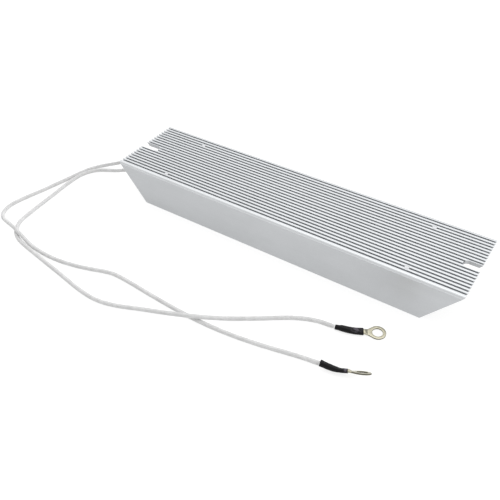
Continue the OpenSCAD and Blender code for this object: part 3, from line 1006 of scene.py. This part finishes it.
@dataclass
class Lug:
    """Stamped ring lug, crimped flat.

    Attributes:
        heading: Which way it points, in degrees from +X towards +Y.
        rise: How steeply it rises, in degrees.
        roll: How far it is turned about its own axis, in degrees.
        mouth_gap: Distance from the sleeve's bend to the barrel's mouth.
        barrel_l: Length of the barrel.
        barrel_w: Width of the barrel.
        barrel_t: Thickness of the barrel.
        throat_l: Length over which the barrel flattens into the neck.
        neck_w: Width of the neck.
        root_w: Width of the tongue's hidden root, in the barrel.
        reach: Distance from the barrel's mouth to the ring's centre.
        ring_d: Width over the ring.
        hole_d: Diameter of the hole.
        sheet_t: Thickness of the ring.
        edge: Radius of its stamped edges.
        round_steps: Sides of the ring and the hole.
        barrel_sides: Sides round the barrel.
        barrel_steps: Steps along the barrel, and again along its throat.
        inset: How far the flattened barrel stays inside the neck: at its sides, in its thickness
            and at its underside.
        sharp: Edges sharper than this many degrees are stamped edges.
    """

    heading: float
    rise: float = 0.0
    roll: float = 0.0
    mouth_gap: float = 0.6
    barrel_l: float = 7.5
    barrel_w: float = 3.8
    barrel_t: float = 1.8
    throat_l: float = 2.2
    neck_w: float = 4.7
    root_w: float = 3.0
    reach: float = 15.3
    ring_d: float = 10.2
    hole_d: float = 6.4
    sheet_t: float = 0.9
    edge: float = 0.16
    round_steps: int = 72
    barrel_sides: int = 30
    barrel_steps: int = 8
    inset: Point = (0.1, 0.06, 0.03)
    sharp: float = 60.0

    def turned(self) -> Matrix:
        """Works out the lug's turn.

        Returns:
            The turn: X along the lug, Y across its ring, Z off its ring.
        """
        heading, rise, roll = (math.radians(a) for a in (self.heading, self.rise, self.roll))
        return (
            Matrix.Rotation(heading, 4, "Z")
            @ Matrix.Rotation(-rise, 4, "Y")
            @ Matrix.Rotation(roll, 4, "X")
        )

    def build(self, name: str, bend: Vector) -> bpy.types.Object:
        """Models the lug.

        Args:
            name: Its name.
            bend: The bend in its sleeve.

        Returns:
            The lug.
        """
        bm = self._tongue()
        barrel = self._barrel()
        spare = bpy.data.meshes.new("barrel")
        barrel.to_mesh(spare)
        barrel.free()
        bm.from_mesh(spare)
        bpy.data.meshes.remove(spare)
        mouth = Matrix.Translation((self.mouth_gap * MM, 0, 0))
        place = Matrix.Translation(bend * MM) @ self.turned() @ mouth
        bmesh.ops.transform(bm, matrix=place, verts=bm.verts[:])
        return finished(name, bm, smooth=50.0)

    def _tongue(self) -> bmesh.types.BMesh:
        """Models the ring and its neck, with rounded stamped edges.

        Returns:
            The tongue, in metres, along X from the barrel's mouth.
        """
        bm = bmesh.new()
        ring = bmesh.ops.create_circle(bm, segments=self.round_steps, radius=self.ring_d / 2)
        outline = self._outline()
        for vert in ring["verts"]:
            turn = math.atan2(vert.co.y, vert.co.x)
            spot = outline[round(abs(turn) * self.round_steps / (2 * math.pi))]
            vert.co.xy = spot.x, math.copysign(spot.y, turn)
        bmesh.ops.create_circle(bm, segments=self.round_steps, radius=self.hole_d / 2)
        flat = bmesh.ops.bridge_loops(bm, edges=bm.edges[:])["faces"]
        grown = bmesh.ops.extrude_face_region(bm, geom=[*flat, *bm.edges], use_keep_orig=True)
        raised = [v for v in grown["geom"] if isinstance(v, bmesh.types.BMVert)]
        bmesh.ops.translate(bm, verts=raised, vec=(0, 0, self.sheet_t))
        bmesh.ops.recalc_face_normals(bm, faces=bm.faces[:])
        sharp = [e for e in bm.edges if e.calc_face_angle(0) > math.radians(self.sharp)]
        bmesh.ops.bevel(
            bm,
            geom=sharp,
            affect="EDGES",
            offset=self.edge,
            segments=3,
            profile=0.5,
            material=-1,
        )
        mark(bm, "rim", self._rim)
        bmesh.ops.translate(bm, verts=bm.verts[:], vec=(self.reach, 0, -self.barrel_t / 2))
        bmesh.ops.scale(bm, verts=bm.verts[:], vec=(MM, MM, MM))
        return bm

    def _outline(self) -> list[Vector]:
        """Draws half of the tongue's outline, from the ring's tip to the middle of its root.

        Returns:
            The places of its vertices, in order.
        """
        run = self.reach - self.barrel_l
        shoulder = Vector((self.throat_l - run, self.neck_w / 2))
        touch = math.atan2(shoulder.y, shoulder.x) - math.acos(
            self.ring_d / 2 / shoulder.length
        )
        step = 2 * math.pi / self.round_steps
        first = math.ceil(touch / step)
        turns = [*(i * step for i in range(first)), touch]
        spots = [Vector((math.cos(t), math.sin(t))) * self.ring_d / 2 for t in turns]
        corners = [
            spots.pop(),
            shoulder,
            Vector((-run, self.root_w / 2)),
            Vector((-run, 0.0)),
        ]
        left, legs = self.round_steps // 2 - first, len(corners) - 1
        for i in range(legs):
            count = left * (i + 1) // legs - left * i // legs
            spots += [corners[i].lerp(corners[i + 1], j / count) for j in range(count)]
        return [*spots, corners[-1]]

    def _rim(self, vert: bmesh.types.BMVert) -> float:
        """Tells how far a vertex belongs to a cut edge.

        Args:
            vert: The vertex, while the ring lies on Z = 0 with its centre at the origin.

        Returns:
            1 on a cut edge, 0 on the flat.
        """
        inner = min(vert.co.z, self.sheet_t - vert.co.z)
        return 1.0 if inner > self.edge / 5 else 0.0

    def _barrel(self) -> bmesh.types.BMesh:
        """Models the barrel, flattened down to the neck at its end.

        Returns:
            The barrel, in metres, along X from its mouth.
        """
        low, steps = -self.barrel_t / 2, self.barrel_steps
        end_w, end_t = self.neck_w - self.inset[0], self.sheet_t - self.inset[1]
        stations = [
            (i * self.barrel_l / steps, self.barrel_w, self.barrel_t, 0.0)
            for i in range(steps + 1)
        ]
        for i in range(1, steps + 1):
            share = i / steps
            ease = share * share * (3 - 2 * share)
            wide = self.barrel_w + (end_w - self.barrel_w) * ease
            thick = self.barrel_t + (end_t - self.barrel_t) * ease
            rise = low + self.inset[2] * ease + thick / 2
            stations.append((self.barrel_l + self.throat_l * share, wide, thick, rise))

        def place(ring: int, turn: float) -> Vector:
            """Places one vertex of the barrel.

            Args:
                ring: Its station.
                turn: Its angle.

            Returns:
                Its place.
            """
            along, wide, thick, rise = stations[ring]
            reach = math.copysign((wide - thick) / 2, math.cos(turn)) + thick / 2 * math.cos(turn)
            return Vector((along, reach, rise + thick / 2 * math.sin(turn))) * MM

        bm = wrap(len(stations) - 1, self.barrel_sides, place)
        mark(bm, "rim", lambda vert: 0.0)
        return bm


@dataclass
class Sleeve:
    """Heat-shrink sleeve, round on the lead and oval on the lug's barrel.

    Attributes:
        stations: For places along it from its mouth, the width and the thickness over it.
        drift: For places along it, how far its middle lies off the line by way of the bend, in Y
            and Z.
        rubbed: Where the painted sheen lies on top: from and to.
        worn_top: How steeply up its surface faces where the painted sheen starts, and where it is
            complete.
        tail: How far it goes on past the lug's end of the CAD sleeve.
        wall: Thickness of the plastic.
        barrel_proud: How much of the lug's barrel stays bare.
        clearance: Gap between it and the table under it.
        step: Distance between its rings.
        sides: Sides round it.
        unevenness: How much its surface wanders.
        wander: Length of one waver along it, and how many there are round it.
        lip: By what share of its width its ends draw in.
    """

    stations: Sequence[tuple[float, float, float]]
    drift: Sequence[tuple[float, float, float]]
    rubbed: tuple[float, float]
    worn_top: tuple[float, float] = (0.5, 0.75)
    tail: float = 0.0
    wall: float = 0.3
    barrel_proud: float = 0.6
    clearance: float = 0.06
    step: float = 0.3
    sides: int = 40
    unevenness: float = 0.05
    wander: tuple[float, float] = (1.7, 1.5)
    lip: float = 0.04

    @staticmethod
    def _between(table: Sequence[Sequence[float]], along: float) -> list[float]:
        """Reads a table at a place, smoothly.

        Args:
            table: Rows that start with a place, in order.
            along: The place.

        Returns:
            The other values of a row there.
        """
        for before, after in zip(table, table[1:]):
            if along <= after[0]:
                share = max(0.0, (along - before[0]) / (after[0] - before[0]))
                share = share * share * (3 - 2 * share)
                return [a + (b - a) * share for a, b in zip(before[1:], after[1:])]
        return list(table[-1][1:])

    def build(self, name: str, mouth: Vector, bend: Vector, lug: Lug) -> bpy.types.Object:
        """Models the sleeve as one hollow skin, its outside and its bore.

        Args:
            name: Its name.
            mouth: Where it starts on the lead.
            bend: Where it bends towards the lug.
            lug: The lug whose barrel it covers.

        Returns:
            The sleeve.
        """
        turned = lug.turned().to_3x3()
        across, axis = turned @ Vector((0, 1, 0)), turned @ Vector((1, 0, 0))
        covered = lug.mouth_gap + lug.barrel_l - self.barrel_proud + self.tail
        path = Route([tuple(mouth), tuple(bend), tuple(bend + covered * axis)], self.step)
        last = len(path.line) - 1
        rings = 2 * last + 2

        def section(i: int, turn: float, inset: float) -> Vector:
            """Gives a place on the sleeve's outside or its bore.

            Args:
                i: Sample along the sleeve.
                turn: Angle round it.
                inset: How far inside the outside.

            Returns:
                The place, in metres.
            """
            along = i * path.step
            wide, thick = self._between(self.stations, along)
            side = (across - across.dot(path.ahead[i]) * path.ahead[i]).normalized()
            up = path.ahead[i].cross(side)
            middle = path.line[i] + Vector((0, *self._between(self.drift, along)))
            lowest = thick / 2 * abs(up.z) + wide / 2 * abs(side.z) + self.clearance
            middle.z = max(middle.z, lowest)
            length, count = self.wander
            round_it = (count * math.cos(turn), count * math.sin(turn))
            ripple = self.unevenness * noise.noise(Vector((along / length, *round_it)))
            wide, thick = wide - 2 * inset + ripple, thick - 2 * inset + ripple
            reach = math.copysign((wide - thick) / 2, math.cos(turn)) + thick / 2 * math.cos(turn)
            if i in (0, last) and inset == 0:
                reach *= 1 - self.lip
            return (middle + reach * side + thick / 2 * math.sin(turn) * up) * MM

        def place(ring: int, turn: float) -> Vector:
            """Places one vertex: out along the outside, then back along the bore.

            Args:
                ring: Its ring.
                turn: Its angle.

            Returns:
                Its place, in metres.
            """
            ring %= rings
            if ring <= last:
                return section(ring, turn, 0.0)
            return section(rings - 1 - ring, turn, self.wall)

        bm = wrap(rings, self.sides, place, closed=True)
        # Painted sheen: marks the patch on the sleeve's top where its material paints a reflection.
        start, end = self.rubbed
        spots = [path.line[round(at / path.step)] * MM for at in (start, end)]
        length = (spots[1] - spots[0]).length
        bm.normal_update()

        def worn(vert: bmesh.types.BMVert) -> float:
            """Tells how much painted sheen a vertex gets.

            Args:
                vert: The vertex.

            Returns:
                1 in the middle of the painted sheen, 0 away from it.
            """
            share = (vert.co - spots[0]).dot(spots[1] - spots[0]) / length**2
            inside = max(0.0, 1 - abs(2 * share - 1) ** 2)
            side, top = self.worn_top
            return inside * max(0.0, min(1.0, (vert.normal.z - side) / (top - side)))

        mark(bm, "rubbed", worn)
        return finished(name, bm, smooth=50.0)


@dataclass
class Braid:
    """Braided cover of a lead, a little uneven, with its cut end showing at the sleeve.

    Attributes:
        end_d: Diameter in the sleeve.
        diameter: Diameter of the rest.
        narrow_l: Length over which it narrows before the sleeve.
        inside: Length inside the sleeve.
        step: Distance between its rings.
        sides: Sides round it.
        unevenness: How much its radius wanders.
        wander: Length of one waver.
        fray_l: Length of the frayed white end.
        flare: How far it stands out there.
        fray_start: Share of the frayed length by which the white starts before it.
        fray_reach: Nothing further than this from the frayed end is white.
    """

    end_d: float
    diameter: float = 2.8
    narrow_l: float = 3.0
    inside: float = 2.5
    step: float = 0.3
    sides: int = 24
    unevenness: float = 0.05
    wander: float = 5.0
    fray_l: float = 0.6
    flare: float = 0.2
    fray_start: float = 0.3
    fray_reach: float = 6.0

    def build(self, name: str, path: Route) -> bpy.types.Object:
        """Models the braid.

        Args:
            name: Its name.
            path: Its line.

        Returns:
            The braid.
        """
        last = len(path.line) - 1
        narrow_from = path.length - self.inside - self.narrow_l
        fray_at = path.length - self.inside - self.fray_l / 2

        def place(ring: int, turn: float) -> Vector:
            """Places one vertex of the braid.

            Args:
                ring: Its ring.
                turn: Its angle.

            Returns:
                Its place, in metres.
            """
            along = ring * path.step
            share = min(1.0, max(0.0, (along - narrow_from) / self.narrow_l))
            radius = (self.diameter + (self.end_d - self.diameter) * share) / 2
            wave = noise.noise(Vector((along / self.wander, math.cos(turn), math.sin(turn))))
            radius += self.unevenness * wave * (1 - share)
            if abs(along - fray_at) < self.fray_l / 2 + path.step / 2:
                radius += self.flare
            side = path.across[ring]
            up = side.cross(path.ahead[ring])
            return (path.line[ring] + radius * (math.cos(turn) * side + math.sin(turn) * up)) * MM

        size = (path.length, math.pi * self.diameter)
        bm = wrap(last, self.sides, place, size)
        start, mouth = (
            path.line[last - round(back / path.step)] * MM
            for back in (self.inside + self.fray_l, self.inside)
        )
        ahead = mouth - start

        def frayed(vert: bmesh.types.BMVert) -> float:
            """Tells whether a vertex lies in the frayed end.

            Args:
                vert: The vertex.

            Returns:
                1 in the frayed end, 0 away from it.
            """
            off = vert.co - start
            near = off.length <= self.fray_reach * MM
            return float(near and off.dot(ahead) > -self.fray_start * ahead.length_squared)

        mark(bm, "frayed", frayed)
        return finished(name, bm)


@dataclass
class FlyingLead:
    """One lead with its sleeve and its lug.

    Attributes:
        side: "front" or "rear", which also names the CAD nodes.
        route: Points from its end block to the mouth and the bend of its sleeve.
        length: Real length of the lead, from its end block to its end in the sleeve. It is not
            used.
        braid: Its cover.
        sleeve: Its sleeve.
        lug: Its lug.
        nose: Where it leaves its bush, along X. It is not used.
    """

    side: str
    route: Sequence[Point]
    length: float
    braid: Braid
    sleeve: Sleeve
    lug: Lug
    nose: float = -106.0

    def build(self, model: Model) -> None:
        """Args:
            model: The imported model.
        """
        mouth, bend = Vector(self.route[-2]), Vector(self.route[-1])
        end = mouth + self.braid.inside * (bend - mouth).normalized()
        path = Route([*self.route[:-1], tuple(end)], self.braid.step)
        braid = model.stand_in(
            self.braid.build(f"braid_{self.side}", path), Slot.BRAID, f"lead_{self.side}"
        )
        sleeve = model.stand_in(
            self.sleeve.build(f"shrink_{self.side}", mouth, bend, self.lug),
            Slot.SLEEVE,
            f"sleeve_{self.side}",
        )
        lug = model.stand_in(
            self.lug.build(f"ring_lug_{self.side}", bend), Slot.LUG, f"lug_{self.side}"
        )
        (strand,) = model.dress(f"strand_{self.side}")
        [tuple(spot * MM) for spot in path.line]


FRONT_ROUTE: tuple[Point, ...] = (
    (-88, -10, 14), (-108, -10, 14), (-119.1, -10, 13.5), (-130.8, -10.5, 11.4),
    (-143.5, -11.7, 7.6), (-156.8, -13.8, 3.3), (-164.8, -15.5, 1.8), (-170.2, -18, 1.4),
    (-174.3, -21.7, 1.4), (-177.3, -26.8, 1.4), (-179.1, -33.5, 1.4), (-179.4, -42.6, 1.4),
    (-177.5, -63.2, 1.4), (-174.8, -89.4, 1.4), (-173.4, -98, 1.4), (-170.8, -103.5, 1.4),
    (-166.5, -108.6, 1.4), (-161, -112.4, 1.4), (-153.8, -115, 1.4), (-135.4, -118.3, 1.4),
    (-105.7, -123.1, 1.4), (-84, -126.7, 1.4), (-72.1, -127.6, 1.4), (-62.9, -126.8, 1.4),
    (-53.2, -124.2, 1.4), (-37.9, -118, 1.4), (-28.3, -114.4, 1.6), (-14.7, -110.8, 3.7),
    (-6.3, -107.9, 4.6), (1.3, -103.8, 4.2), (10.1, -97.3, 2.4), (17.6, -91.6, 1.4),
    (29.3, -83.8, 1.4), (43.3, -74.2, 1.4), (52.7, -69.3, 1.4), (60.9, -66.7, 1.4),
    (70.6, -65.6, 1.5), (79.9, -63.2, 1.35),
)
REAR_ROUTE: tuple[Point, ...] = (
    (-88, 8, 14), (-108, 8, 14), (-119.5, 8, 13.5), (-130.6, 7, 12.1), (-140.9, 4.9, 9.9),
    (-150.8, 1.5, 7.1), (-160.4, -3.3, 4.2), (-168.3, -8.6, 2.5), (-174.1, -13.9, 1.7),
    (-178, -19.4, 1.4), (-180.7, -26.2, 1.4), (-184.1, -41.6, 1.4), (-188.9, -62.1, 1.4),
    (-193.9, -80.6, 1.4), (-195.1, -88.3, 1.4), (-194.5, -93.7, 1.4), (-192.6, -98.3, 1.5),
    (-189.5, -101.8, 1.8), (-185.3, -104.3, 2.3), (-175, -107.2, 3.9), (-165.3, -109.3, 4.5),
    (-155.2, -111.6, 3.1), (-144.3, -113.7, 1.6), (-132.4, -114.8, 1.4), (-120, -114.6, 1.4),
    (-108.2, -113, 1.4), (-95, -109.7, 1.4), (-80.7, -105, 1.4), (-73.7, -103.7, 1.4),
    (-60.3, -104, 1.4), (-33.7, -105.7, 1.4), (-12.3, -106.5, 1.4), (5.5, -106.1, 1.4),
    (22.2, -104.6, 1.4), (40.4, -101.7, 1.4), (62.7, -97.1, 1.6), (76.8, -95, 1.9),
    (85, -94.5, 2.25),
)


FRONT_LEAD = FlyingLead(
    side="front",
    route=FRONT_ROUTE,
    length=439.0,
    braid=Braid(end_d=2.0),
    sleeve=Sleeve(
        stations=(
            (0.0, 3.1, 3.1),
            (2.0, 3.3, 3.2),
            (4.0, 4.0, 3.7),
            (9.2, 4.3, 3.6),
            (12.6, 4.6, 3.2),
            (17.3, 5.0, 3.1),
        ),
        drift=((0.0, 0.0, 0.1), (4.0, 0.1, 0.35), (10.0, 0.1, 0.3), (17.3, -0.2, 0.0)),
        rubbed=(9.0, 16.2),
    ),
    lug=Lug(heading=29.0),
)
REAR_LEAD = FlyingLead(
    side="rear",
    route=REAR_ROUTE,
    length=459.0,
    braid=Braid(end_d=2.8),
    sleeve=Sleeve(
        stations=(
            (0.0, 4.1, 4.1),
            (2.4, 4.0, 3.8),
            (5.0, 4.1, 3.7),
            (8.0, 4.2, 3.4),
            (9.6, 4.4, 3.1),
            (11.6, 4.6, 2.5),
            (16.0, 4.5, 2.4),
        ),
        drift=(
            (0.0, -0.3, 0.0),
            (4.0, -0.15, 0.1),
            (7.0, 0.0, 0.35),
            (9.0, 0.0, 0.3),
            (13.0, -0.1, -0.15),
            (16.5, -0.15, -0.2),
        ),
        rubbed=(13.8, 16.0),
        tail=0.5,
    ),
    lug=Lug(heading=20.0, rise=7.0, roll=-43.0),
)


def main() -> None:
    """Builds the scene in order: studio, leads, body and what it holds."""
    logging.basicConfig(level=logging.INFO, format="%(name)s: %(message)s")
    model = Model.loaded()
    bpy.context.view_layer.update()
    Studio().build()
    for part in (FRONT_LEAD, REAR_LEAD, Housing(), EndClosures(), ResistanceElements()):
        part.build(model)


if __name__ == "__main__":
    main()
